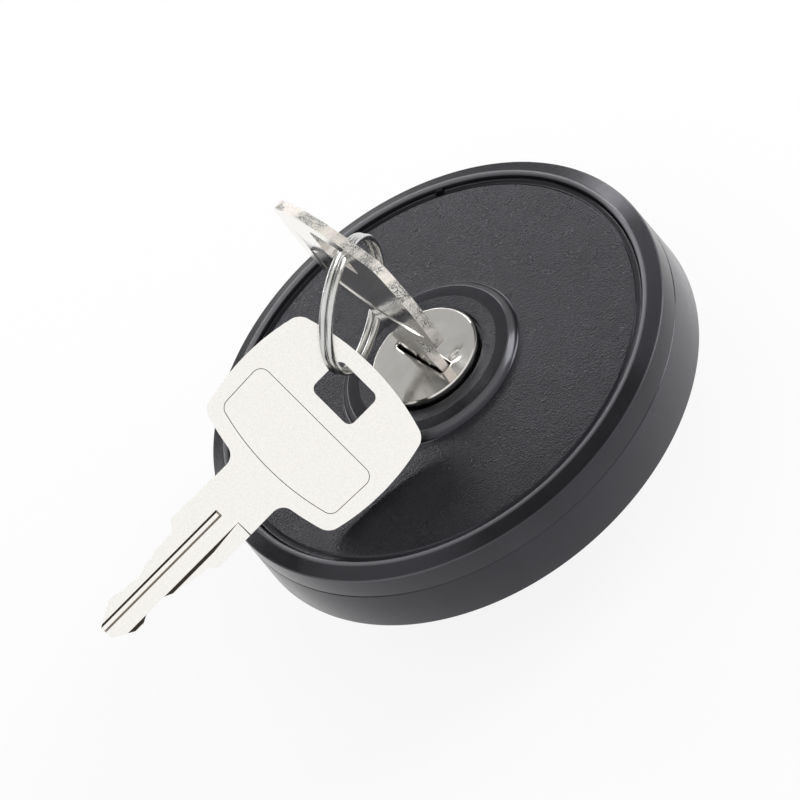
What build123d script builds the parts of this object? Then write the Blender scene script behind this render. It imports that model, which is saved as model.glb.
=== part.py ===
from build123d import *
from math import cos, radians, sin, sqrt
import os

# Locking fuel filler cap with its two keys on a split ring.
#
# The cap stands on its spigot.  The axis of the cap is Z, pointing out of the
# face, and Z = 0 is the plane where the gasket meets the filler neck.
# The outer shell turns freely on the closure body until a key is turned: then
# the lock's cam pushes a bolt into the toothed ring of the closure body.
# Sizes are in millimetres.

os.makedirs("parts", exist_ok=True)

# ---------------------------------------------------------------- driving sizes
# outer shell
RIM_RADIUS = 37.5
RIM_EDGE_Z = 9.05
RIM_BAND = 2.55
RIM_RISE = 0.8
RIM_BULGE = 0.12
SKIRT_DRAFT = 0.7
SKIRT_Z = -2.0
SKIRT_WALL = 2.0
LIP_INSET = 0.2
LEDGE_WIDTH = 3.75
LEDGE_THICKNESS = 1.0
GRIP_RIBS = 16
GRIP_RIB_THICKNESS = 1.4
GRIP_RIB_REACH = 1.2
GRIP_RIB_BOTTOM_Z = 0.5
STOP_RIB_AZIMUTH = 57.0
STOP_RIB_WIDTH = 1.3
STOP_RIB_REACH = 0.7

# cover disc
COVER_TOP_Z = 9.0
COVER_THICKNESS = 2.0
COVER_EDGE_GAP = 0.45
BOSS_RADIUS = 14.4
BOSS_RISE = 1.4
BOSS_ROUND = 0.9
DISH_RADIUS = 12.0
DISH_DEPTH = 0.25

# closure body, which locks into the filler neck
GASKET_THICKNESS = 2.4
GASKET_OUTER = 29.8
GASKET_FIT = 0.2
FLANGE_RADIUS = 30.3
FLANGE_THICKNESS = 2.0
SPIGOT_RADIUS = 21.5
SPIGOT_WALL = 2.7
PILOT_STEP = 0.5
SPIGOT_END_Z = -19.2
SPIGOT_CHAMFER = 0.8
LUG_RADIUS = 25.0
LUG_TOP_Z = -6.0
LUG_THICKNESS = 3.6
LUG_ARC = 48.0
LUG_ROUND = 1.2
BASE_RECESS = 0.9
BASE_THICKNESS = 1.6
TOOTH_RING_INNER = 11.7
TOOTH_RING_WALL = 4.0
TOOTH_COUNT = 12
TOOTH_DEPTH = 2.4
VENT_STEM_RADIUS = 1.1
VENT_HOLE_RADIUS = 0.7
VENT_HOLE_CIRCLE = 2.6
VENT_HOLES = 4
VENT_CAP_RADIUS = 4.2
VENT_CAP_THICKNESS = 0.6

# hub of the shell, and what holds it
HUB_RADIUS = 11.2
HUB_BORE = 8.55
HUB_CLEARANCE = 0.08
HUB_FLOOR = 0.8
HUB_FLANGE_GAP = 1.1
HUB_STEP_FIT = 0.1
THRUST_WASHER_THICKNESS = 0.7
THRUST_WASHER_RADIUS = 19.0
THRUST_GAP = 0.15
CIRCLIP_THICKNESS = 1.0
CIRCLIP_RADIUS = 13.6
CIRCLIP_GROOVE = 0.9
CIRCLIP_OPENING = 50.0
SCREW_COUNT = 4
SCREW_CIRCLE = 25.5
SCREW_SHANK = 1.2
SCREW_HEAD = 2.5
SCREW_HEAD_HEIGHT = 0.9
SCREW_BITE = 1.3

# lock
FACE_RADIUS = 8.65
FACE_Z = 11.35
FACE_SHEET = 0.5
FACE_SKIRT = 1.6
FACE_CHAMFER = 0.3
HEAD_GAP = 0.4
HEAD_LIFT = 0.15
BARREL_RADIUS = 8.35
BARREL_FLANGE_RADIUS = 10.2
BARREL_FLANGE_THICKNESS = 1.2
BARREL_END_Z = -8.9
PLUG_RADIUS = 6.65
PLUG_CLEARANCE = 0.06
PLUG_END_Z = -12.0
PLUG_FLOOR = 0.6
SLOT_LENGTH = 11.6
SLOT_WIDTH = 2.2
SLOT_AZIMUTH = -77.5
WAFER_COUNT = 5
WAFER_THICKNESS = 0.9
WAFER_PITCH = 3.0
WAFER_FIRST_Z = 5.5
WAFER_LENGTH = 11.9
WAFER_WIDTH = 4.6
WAFER_WINDOW = 9.4
WAFER_FIT = 0.1
CLIP_THICKNESS = 0.8
CLIP_RADIUS = 8.2
CLIP_GROOVE = 0.8
CLIP_OPENING = 70.0
TONGUE_LENGTH = 9.0
TONGUE_WIDTH = 2.0
TONGUE_DEPTH = 0.6
CAM_THICKNESS = 1.2
CAM_RADIUS = 6.0
CAM_PIN_RADIUS = 1.0
BOLT_WIDTH = 4.4
BOLT_THICKNESS = 2.0
BOLT_TAIL = 6.0
BOLT_TIP = 11.0
BOLT_TRAVEL = 2.6
BOLT_FIT = 0.2

# keys, with the datum across the neck: the bow is on the +Y side of it
KEY_THICKNESS = 1.6
KEY_NECK = 4.7
KEY_BLADE = 4.85
KEY_SHOULDER = 9.0
KEY_TIP = 26.9
BOW_CREST = 26.8
BOW_CORNER = 12.5
BOW_END = 24.7
BOW_BASE = 5.6
BOW_BULGE = 1.35
BOW_BASE_BULGE = 2.0
BOW_CORNER_FILLET = 2.4
NECK_FILLET = 2.0
BITTING_FIRST = 10.5
BITTING_PITCH = 2.5
BITTING_FLAT = 1.0
BITTING_LEFT = (3.4, 3.3, 2.9, 2.3, 2.5, 2.9)
BITTING_RIGHT = (3.8, 3.4, 2.9, 2.2, 2.2, 3.0)
KEY_HOLE_WIDTH = 7.8
KEY_HOLE_LENGTH = 6.0
KEY_HOLE_Y = 21.3
KEY_HOLE_FILLET = 1.1
PANEL_TOP_WIDTH = 22.8
PANEL_BASE_WIDTH = 22.2
PANEL_TOP = 15.8
PANEL_BASE = 7.6
PANEL_BULGE = 1.6
PANEL_FILLET = 1.5
PANEL_DEPTH = 0.15
GROOVE_DEPTH = 0.45
GROOVE_SLOPE = 35.0
MAIN_GROOVE = (-0.65, 1.2, -3.4)
BACK_GROOVE = (0.65, 1.2, -3.4)
STEP_EDGE = 2.25
STEP_WALL = 0.55
STEP_START = -2.5
STEP_RUN = 5.5

# how the inserted key sits in the keyway, with a little play
KEY_AZIMUTH = -79.5
KEY_LEAN = 1.9
KEY_SHIFT = 0.5
KEY_DATUM_Z = 16.8
KEY_PIVOT_Z = 11.0

# the spare key leans on the disc, held up by the ring
SPARE_HOLE = Vector(-12.265, -5.572, 20.524)
SPARE_TIPWARD = Vector(-0.9969, -0.0606, -0.0501).normalized()
SPARE_NORMAL = Vector(0.0130, -0.7511, 0.6601).normalized()

# split ring: two turns of round wire side by side
RING_CENTRE = Vector(-3.131, 0.227, 27.232)
RING_NORMAL = Vector(0.5913, -0.7391, -0.3226).normalized()
RING_RADIUS = 9.78
RING_WIRE = 0.5
RING_GAP = 0.04
RING_STEP = 14.0
RING_STEP_AT = -50.0

# ---------------------------------------------------------------- worked out
SKIRT_RADIUS = RIM_RADIUS + SKIRT_DRAFT
RIM_CREST_RADIUS = RIM_RADIUS - RIM_BAND
RIM_CREST_Z = RIM_EDGE_Z + RIM_RISE
LIP_WALL_RADIUS = RIM_CREST_RADIUS - LIP_INSET
LEDGE_RADIUS = LIP_WALL_RADIUS - LEDGE_WIDTH
HUB_FLANGE_RADIUS = RIM_RADIUS - SKIRT_WALL - GRIP_RIB_REACH - HUB_FLANGE_GAP
FLANGE_BOTTOM_Z = GASKET_THICKNESS
FLANGE_TOP_Z = FLANGE_BOTTOM_Z + FLANGE_THICKNESS
HUB_DISC_Z = FLANGE_TOP_Z + THRUST_WASHER_THICKNESS + THRUST_GAP
COVER_UNDER_Z = COVER_TOP_Z - COVER_THICKNESS
COVER_RADIUS = LIP_WALL_RADIUS - COVER_EDGE_GAP
LEDGE_Z = COVER_UNDER_Z - LEDGE_THICKNESS
BOSS_TOP_Z = COVER_TOP_Z + BOSS_RISE
SPIGOT_BORE = SPIGOT_RADIUS - SPIGOT_WALL
PILOT_RADIUS = SPIGOT_RADIUS - PILOT_STEP
LUG_BOTTOM_Z = LUG_TOP_Z - LUG_THICKNESS
BASE_Z = SPIGOT_END_Z + BASE_RECESS
BASE_TOP_Z = BASE_Z + BASE_THICKNESS
CAM_Z = PLUG_END_Z - CAM_THICKNESS
BOLT_Z = CAM_Z - BOLT_FIT - BOLT_THICKNESS
HUB_END_Z = BOLT_Z - HUB_FLOOR
BARREL_TOP_Z = COVER_UNDER_Z + BARREL_FLANGE_THICKNESS
HEAD_BASE_Z = BARREL_TOP_Z + HEAD_LIFT
HEAD_RADIUS = FACE_RADIUS - FACE_SHEET
CIRCLIP_Z = FLANGE_BOTTOM_Z - 0.3 - CIRCLIP_THICKNESS
CAM_OFFSET = BOLT_TRAVEL / sqrt(2)
SPARE_DATUM = SPARE_HOLE + SPARE_TIPWARD * KEY_HOLE_Y


def slot_plane(z):
    """Plane across the lock's axis, its X along the keyway."""
    along = Vector(cos(radians(SLOT_AZIMUTH)), sin(radians(SLOT_AZIMUTH)), 0)
    return Plane(origin=(0, 0, z), x_dir=along, z_dir=(0, 0, 1))


def snap_ring(outer, inner, bottom, thickness, opening, azimuth):
    """Flat spring clip about the lock's axis, open over an angle."""
    with BuildPart() as clip:
        with BuildSketch(Plane.XY.offset(bottom)):
            with BuildLine():
                sweep_angle = 360 - opening
                outside = CenterArc((0, 0), outer, azimuth + opening / 2, sweep_angle)
                inside = CenterArc((0, 0), inner, azimuth + opening / 2, sweep_angle)
                Line(outside @ 0, inside @ 0)
                Line(outside @ 1, inside @ 1)
            make_face()
        extrude(amount=thickness)
    return clip


# ---------------------------------------------------------------- closure body
with BuildPart() as closure_body:
    with BuildSketch(Plane.XZ):
        with BuildLine():
            Polyline(
                (HUB_RADIUS + HUB_CLEARANCE, FLANGE_TOP_Z),
                (FLANGE_RADIUS, FLANGE_TOP_Z),
                (FLANGE_RADIUS, FLANGE_BOTTOM_Z),
                (SPIGOT_RADIUS, FLANGE_BOTTOM_Z),
                (SPIGOT_RADIUS, LUG_BOTTOM_Z),
                (PILOT_RADIUS, LUG_BOTTOM_Z),
                (PILOT_RADIUS, SPIGOT_END_Z + SPIGOT_CHAMFER),
                (PILOT_RADIUS - SPIGOT_CHAMFER, SPIGOT_END_Z),
                (SPIGOT_BORE, SPIGOT_END_Z),
                (SPIGOT_BORE, FLANGE_BOTTOM_Z),
                (HUB_RADIUS + HUB_CLEARANCE, FLANGE_BOTTOM_Z),
                close=True,
            )
        make_face()
    revolve(axis=Axis.Z)
    # two bayonet lugs that pass under the neck's cams
    for middle in (0, 180):
        with BuildSketch(Plane.XY.offset(LUG_BOTTOM_Z)) as lug:
            with BuildLine():
                outer_arc = CenterArc((0, 0), LUG_RADIUS, middle - LUG_ARC / 2, LUG_ARC)
                inner_arc = CenterArc((0, 0), SPIGOT_RADIUS - 0.5, middle - LUG_ARC / 2, LUG_ARC)
                Line(outer_arc @ 0, inner_arc @ 0)
                Line(outer_arc @ 1, inner_arc @ 1)
            make_face()
            corners = lug.vertices().sort_by_distance((0, 0, 0))[-2:]
            fillet(corners, radius=LUG_ROUND)
        extrude(amount=LUG_THICKNESS)
closure_body.part.label = "closure_body"
export_step(closure_body.part, "parts/closure_body.step")

# base plate of the spigot: its toothed ring takes the lock's bolt
with BuildPart() as spigot_base:
    with BuildSketch(Plane.XY.offset(BASE_Z)):
        Circle(SPIGOT_BORE)
    extrude(amount=BASE_THICKNESS)
    with BuildSketch(Plane.XY.offset(BASE_TOP_Z)):
        Circle(TOOTH_RING_INNER + TOOTH_RING_WALL)
        Circle(TOOTH_RING_INNER, mode=Mode.SUBTRACT)
        with PolarLocations(TOOTH_RING_INNER + TOOTH_DEPTH / 2, TOOTH_COUNT):
            Rectangle(TOOTH_DEPTH + 1.0, BOLT_WIDTH + 2 * BOLT_FIT, mode=Mode.SUBTRACT)
    extrude(amount=CAM_Z - BASE_TOP_Z)
    # vent holes round the seat of the umbrella valve
    with BuildSketch(Plane.XY.offset(BASE_Z)):
        Circle(VENT_STEM_RADIUS)
        with PolarLocations(VENT_HOLE_CIRCLE, VENT_HOLES):
            Circle(VENT_HOLE_RADIUS)
    extrude(amount=BASE_THICKNESS, mode=Mode.SUBTRACT)
spigot_base.part.label = "spigot_base"
export_step(spigot_base.part, "parts/spigot_base.step")

# rubber umbrella valve: a thin cap on a stem, on the fuel side of the base
with BuildPart() as vent_valve:
    with BuildSketch(Plane.XZ):
        with BuildLine():
            Polyline(
                (0, BASE_TOP_Z + 0.2),
                (VENT_STEM_RADIUS + 0.3, BASE_TOP_Z + 0.2),
                (VENT_STEM_RADIUS + 0.3, BASE_TOP_Z),
                (VENT_STEM_RADIUS, BASE_TOP_Z),
                (VENT_STEM_RADIUS, BASE_Z),
                (VENT_CAP_RADIUS, BASE_Z),
                (VENT_CAP_RADIUS, BASE_Z - 0.2),
                (VENT_STEM_RADIUS, BASE_Z - VENT_CAP_THICKNESS),
                (0, BASE_Z - VENT_CAP_THICKNESS),
                close=True,
            )
        make_face()
    revolve(axis=Axis.Z)
vent_valve.part.label = "vent_valve"
export_step(vent_valve.part, "parts/vent_valve.step")

with BuildPart() as gasket:
    with BuildSketch():
        Circle(GASKET_OUTER)
        Circle(SPIGOT_RADIUS + GASKET_FIT, mode=Mode.SUBTRACT)
    extrude(amount=GASKET_THICKNESS)
gasket.part.label = "gasket"
export_step(gasket.part, "parts/gasket.step")

with BuildPart() as thrust_washer:
    with BuildSketch(Plane.XY.offset(FLANGE_TOP_Z)):
        Circle(THRUST_WASHER_RADIUS)
        Circle(HUB_RADIUS + 2 * HUB_CLEARANCE, mode=Mode.SUBTRACT)
    extrude(amount=THRUST_WASHER_THICKNESS)
thrust_washer.part.label = "thrust_washer"
export_step(thrust_washer.part, "parts/thrust_washer.step")

# ---------------------------------------------------------------- outer shell
with BuildPart() as grip_ring:
    with BuildSketch(Plane.XZ):
        with BuildLine():
            Line((SKIRT_RADIUS, SKIRT_Z), (RIM_RADIUS, RIM_EDGE_Z))
            bevel_middle = (
                (RIM_RADIUS + RIM_CREST_RADIUS) / 2,
                (RIM_EDGE_Z + RIM_CREST_Z) / 2 + RIM_BULGE,
            )
            ThreePointArc(
                (RIM_RADIUS, RIM_EDGE_Z), bevel_middle, (RIM_CREST_RADIUS, RIM_CREST_Z)
            )
            Polyline(
                (RIM_CREST_RADIUS, RIM_CREST_Z),
                (LIP_WALL_RADIUS, RIM_CREST_Z - LIP_INSET),
                (LIP_WALL_RADIUS, COVER_UNDER_Z),
                (LEDGE_RADIUS, COVER_UNDER_Z),
                (LEDGE_RADIUS, LEDGE_Z),
                (RIM_RADIUS - SKIRT_WALL, LEDGE_Z),
                (SKIRT_RADIUS - SKIRT_WALL, SKIRT_Z),
                (SKIRT_RADIUS, SKIRT_Z),
            )
        make_face()
    revolve(axis=Axis.Z)
    # ribs that stiffen the skirt
    with BuildSketch(Plane.XY.offset(GRIP_RIB_BOTTOM_Z)):
        rib_middle = RIM_RADIUS - SKIRT_WALL - GRIP_RIB_REACH / 2 + 0.5
        with PolarLocations(rib_middle, GRIP_RIBS, start_angle=180 / GRIP_RIBS):
            Rectangle(GRIP_RIB_REACH + 1.0, GRIP_RIB_THICKNESS)
    extrude(amount=LEDGE_Z - GRIP_RIB_BOTTOM_Z)
    # one rib in the groove round the cover stops it turning
    with BuildSketch(Plane.XY.offset(COVER_UNDER_Z)):
        stop_middle = LIP_WALL_RADIUS - STOP_RIB_REACH / 2 + 0.1
        with PolarLocations(stop_middle, 1, start_angle=STOP_RIB_AZIMUTH):
            Rectangle(STOP_RIB_REACH + 0.2, STOP_RIB_WIDTH)
    extrude(amount=COVER_THICKNESS + 0.1)
grip_ring.part.label = "grip_ring"
export_step(grip_ring.part, "parts/grip_ring.step")

with BuildPart() as cover_disc:
    with BuildSketch(Plane.XZ):
        with BuildLine():
            Polyline(
                (BOSS_RADIUS - BOSS_ROUND, BOSS_TOP_Z),
                (DISH_RADIUS, BOSS_TOP_Z - DISH_DEPTH),
                (FACE_RADIUS + HEAD_GAP, BOSS_TOP_Z - DISH_DEPTH),
                (FACE_RADIUS + HEAD_GAP, BARREL_TOP_Z),
                (BARREL_FLANGE_RADIUS, BARREL_TOP_Z),
                (BARREL_FLANGE_RADIUS, COVER_UNDER_Z),
                (COVER_RADIUS, COVER_UNDER_Z),
                (COVER_RADIUS, COVER_TOP_Z),
                (BOSS_RADIUS, COVER_TOP_Z),
                (BOSS_RADIUS, BOSS_TOP_Z - BOSS_ROUND),
            )
            RadiusArc(
                (BOSS_RADIUS, BOSS_TOP_Z - BOSS_ROUND),
                (BOSS_RADIUS - BOSS_ROUND, BOSS_TOP_Z),
                -BOSS_ROUND,
            )
        make_face()
    revolve(axis=Axis.Z)
    # notch for the shell's stop rib
    with BuildSketch(Plane.XY.offset(COVER_UNDER_Z)):
        with PolarLocations(COVER_RADIUS, 1, start_angle=STOP_RIB_AZIMUTH):
            Rectangle(2 * STOP_RIB_REACH, STOP_RIB_WIDTH + 2 * GASKET_FIT)
    extrude(amount=COVER_THICKNESS, mode=Mode.SUBTRACT)
    # blind holes for the screws
    with BuildSketch(Plane.XY.offset(COVER_UNDER_Z)):
        with PolarLocations(SCREW_CIRCLE, SCREW_COUNT, start_angle=45):
            Circle(SCREW_SHANK)
    extrude(amount=SCREW_BITE, mode=Mode.SUBTRACT)
cover_disc.part.label = "cover_disc"
export_step(cover_disc.part, "parts/cover_disc.step")

with BuildPart() as hub:
    with BuildSketch(Plane.XZ):
        with BuildLine():
            Polyline(
                (HUB_BORE, COVER_UNDER_Z),
                (LEDGE_RADIUS - HUB_STEP_FIT, COVER_UNDER_Z),
                (LEDGE_RADIUS - HUB_STEP_FIT, LEDGE_Z),
                (HUB_FLANGE_RADIUS, LEDGE_Z),
                (HUB_FLANGE_RADIUS, HUB_DISC_Z),
                (HUB_RADIUS, HUB_DISC_Z),
                (HUB_RADIUS, CIRCLIP_Z + CIRCLIP_THICKNESS),
                (HUB_RADIUS - CIRCLIP_GROOVE, CIRCLIP_Z + CIRCLIP_THICKNESS),
                (HUB_RADIUS - CIRCLIP_GROOVE, CIRCLIP_Z),
                (HUB_RADIUS, CIRCLIP_Z),
                (HUB_RADIUS, HUB_END_Z),
                (0, HUB_END_Z),
                (0, CAM_Z - BOLT_FIT / 2),
                (HUB_BORE, CAM_Z - BOLT_FIT / 2),
                close=True,
            )
        make_face()
    revolve(axis=Axis.Z)
    # radial channel that guides the bolt
    with BuildSketch(Plane.XY.offset(BOLT_Z)):
        with Locations((HUB_RADIUS - BOLT_TAIL - BOLT_FIT, 0)):
            Rectangle(2 * HUB_RADIUS, BOLT_WIDTH + BOLT_FIT)
        Circle(CAM_OFFSET + CAM_PIN_RADIUS + 0.3)
    extrude(amount=CAM_Z - BOLT_Z, mode=Mode.SUBTRACT)
    # holes and counterbores for the screws, from below
    with BuildSketch(Plane.XY.offset(HUB_DISC_Z)):
        with PolarLocations(SCREW_CIRCLE, SCREW_COUNT, start_angle=45):
            Circle(SCREW_SHANK)
    extrude(amount=COVER_UNDER_Z - HUB_DISC_Z, mode=Mode.SUBTRACT)
    with BuildSketch(Plane.XY.offset(HUB_DISC_Z)):
        with PolarLocations(SCREW_CIRCLE, SCREW_COUNT, start_angle=45):
            Circle(SCREW_HEAD + GASKET_FIT)
    extrude(amount=SCREW_HEAD_HEIGHT, mode=Mode.SUBTRACT)
hub.part.label = "hub"
export_step(hub.part, "parts/hub.step")

with BuildPart() as cover_screws:
    with BuildSketch(Plane.XY.offset(HUB_DISC_Z)):
        with PolarLocations(SCREW_CIRCLE, SCREW_COUNT, start_angle=45):
            Circle(SCREW_HEAD)
            SlotOverall(2.6, 0.6, mode=Mode.SUBTRACT)
    extrude(amount=SCREW_HEAD_HEIGHT)
    with BuildSketch(Plane.XY.offset(HUB_DISC_Z + SCREW_HEAD_HEIGHT / 2)):
        with PolarLocations(SCREW_CIRCLE, SCREW_COUNT, start_angle=45):
            Circle(SCREW_SHANK)
    extrude(amount=COVER_UNDER_Z + SCREW_BITE - HUB_DISC_Z - SCREW_HEAD_HEIGHT / 2)
cover_screws.part.label = "cover_screws"
export_step(cover_screws.part, "parts/cover_screws.step")

retaining_ring = snap_ring(
    CIRCLIP_RADIUS, HUB_RADIUS - CIRCLIP_GROOVE, CIRCLIP_Z, CIRCLIP_THICKNESS, CIRCLIP_OPENING, 90
)
retaining_ring.part.label = "retaining_ring"
export_step(retaining_ring.part, "parts/retaining_ring.step")

# ---------------------------------------------------------------- lock
with BuildPart() as lock_barrel:
    with BuildSketch(Plane.XZ):
        with BuildLine():
            Polyline(
                (PLUG_RADIUS + PLUG_CLEARANCE, BARREL_TOP_Z),
                (BARREL_FLANGE_RADIUS, BARREL_TOP_Z),
                (BARREL_FLANGE_RADIUS, COVER_UNDER_Z),
                (BARREL_RADIUS, COVER_UNDER_Z),
                (BARREL_RADIUS, BARREL_END_Z),
                (PLUG_RADIUS + PLUG_CLEARANCE, BARREL_END_Z),
                close=True,
            )
        make_face()
    revolve(axis=Axis.Z)
lock_barrel.part.label = "lock_barrel"
export_step(lock_barrel.part, "parts/lock_barrel.step")

CLIP_Z = BARREL_END_Z - 0.1 - CLIP_THICKNESS
with BuildPart() as lock_plug:
    with BuildSketch(Plane.XZ):
        with BuildLine():
            Polyline(
                (0, FACE_Z - FACE_SHEET),
                (HEAD_RADIUS, FACE_Z - FACE_SHEET),
                (HEAD_RADIUS, HEAD_BASE_Z),
                (PLUG_RADIUS, HEAD_BASE_Z),
                (PLUG_RADIUS, CLIP_Z + CLIP_THICKNESS),
                (PLUG_RADIUS - CLIP_GROOVE, CLIP_Z + CLIP_THICKNESS),
                (PLUG_RADIUS - CLIP_GROOVE, CLIP_Z),
                (PLUG_RADIUS, CLIP_Z),
                (PLUG_RADIUS, PLUG_END_Z),
                (0, PLUG_END_Z),
                close=True,
            )
        make_face()
    revolve(axis=Axis.Z)
    # tongue that drives the cam
    with BuildSketch(slot_plane(PLUG_END_Z - TONGUE_DEPTH)):
        Rectangle(TONGUE_LENGTH, TONGUE_WIDTH)
    extrude(amount=TONGUE_DEPTH)
    # keyway
    with BuildSketch(slot_plane(PLUG_END_Z + PLUG_FLOOR)):
        Rectangle(SLOT_LENGTH, SLOT_WIDTH)
    extrude(amount=FACE_Z - PLUG_END_Z, mode=Mode.SUBTRACT)
    # slots for the wafers
    for number in range(WAFER_COUNT):
        with BuildSketch(slot_plane(WAFER_FIRST_Z - WAFER_PITCH * number - WAFER_FIT)):
            Rectangle(WAFER_LENGTH + 2 * WAFER_FIT, WAFER_WIDTH + 2 * WAFER_FIT)
        extrude(amount=WAFER_THICKNESS + 2 * WAFER_FIT, mode=Mode.SUBTRACT)
lock_plug.part.label = "lock_plug"
export_step(lock_plug.part, "parts/lock_plug.step")

# pressed cap over the head of the plug
with BuildPart() as lock_face:
    with BuildSketch(Plane.XZ):
        with BuildLine():
            Polyline(
                (0, FACE_Z),
                (FACE_RADIUS - FACE_CHAMFER, FACE_Z),
                (FACE_RADIUS, FACE_Z - FACE_CHAMFER),
                (FACE_RADIUS, FACE_Z - FACE_SKIRT),
                (HEAD_RADIUS, FACE_Z - FACE_SKIRT),
                (HEAD_RADIUS, FACE_Z - FACE_SHEET),
                (0, FACE_Z - FACE_SHEET),
                close=True,
            )
        make_face()
    revolve(axis=Axis.Z)
    with BuildSketch(slot_plane(FACE_Z - FACE_SHEET)):
        Rectangle(SLOT_LENGTH, SLOT_WIDTH)
    extrude(amount=FACE_SHEET, mode=Mode.SUBTRACT)
lock_face.part.label = "lock_face"
export_step(lock_face.part, "parts/lock_face.step")

# five wafers, lifted level by the key
with BuildPart() as wafers:
    for number in range(WAFER_COUNT):
        with BuildSketch(slot_plane(WAFER_FIRST_Z - WAFER_PITCH * number)):
            Rectangle(WAFER_LENGTH, WAFER_WIDTH)
            Rectangle(WAFER_WINDOW, SLOT_WIDTH, mode=Mode.SUBTRACT)
        extrude(amount=WAFER_THICKNESS)
wafers.part.label = "wafers"
export_step(wafers.part, "parts/wafers.step")

plug_clip = snap_ring(
    CLIP_RADIUS, PLUG_RADIUS - CLIP_GROOVE, CLIP_Z, CLIP_THICKNESS, CLIP_OPENING, SLOT_AZIMUTH + 90
)
plug_clip.part.label = "plug_clip"
export_step(plug_clip.part, "parts/plug_clip.step")

# cam on the end of the plug: its pin starts behind the bolt's centre line
with BuildPart() as cam_plate:
    with BuildSketch(Plane.XY.offset(CAM_Z)):
        Circle(CAM_RADIUS)
    extrude(amount=CAM_THICKNESS)
    with BuildSketch(Plane.XY.offset(BOLT_Z + BOLT_FIT)):
        with PolarLocations(CAM_OFFSET, 1, start_angle=135):
            Circle(CAM_PIN_RADIUS)
    extrude(amount=CAM_Z - BOLT_Z - BOLT_FIT)
    with BuildSketch(slot_plane(PLUG_END_Z - TONGUE_DEPTH)):
        Rectangle(2 * CAM_RADIUS, TONGUE_WIDTH)
    extrude(amount=TONGUE_DEPTH, mode=Mode.SUBTRACT)
cam_plate.part.label = "cam_plate"
export_step(cam_plate.part, "parts/cam_plate.step")

with BuildPart() as locking_bolt:
    with BuildSketch(Plane.XY.offset(BOLT_Z + BOLT_FIT / 4)):
        with Locations(((BOLT_TIP - BOLT_TAIL) / 2, 0)):
            Rectangle(BOLT_TIP + BOLT_TAIL, BOLT_WIDTH)
        # the cam pin works in a slot that opens to one side
        with Locations((-BOLT_TRAVEL / 2, BOLT_WIDTH / 2)):
            Rectangle(2 * (CAM_PIN_RADIUS + 0.15), BOLT_WIDTH - 0.4, mode=Mode.SUBTRACT)
    extrude(amount=BOLT_THICKNESS)
    tip_edges = locking_bolt.edges().filter_by(Axis.Z).sort_by(Axis.X)[-2:]
    fillet(tip_edges, radius=0.6)
locking_bolt.part.label = "locking_bolt"
export_step(locking_bolt.part, "parts/locking_bolt.step")


# ---------------------------------------------------------------- keys
def bitting(depths, side):
    """Points down one edge of the blade: a flat at each cut, ramps between."""
    points = []
    for number, depth in enumerate(depths):
        middle = -BITTING_FIRST - BITTING_PITCH * number
        points.append((side * depth, middle + BITTING_FLAT / 2))
        points.append((side * depth, middle - BITTING_FLAT / 2))
    return points


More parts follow.
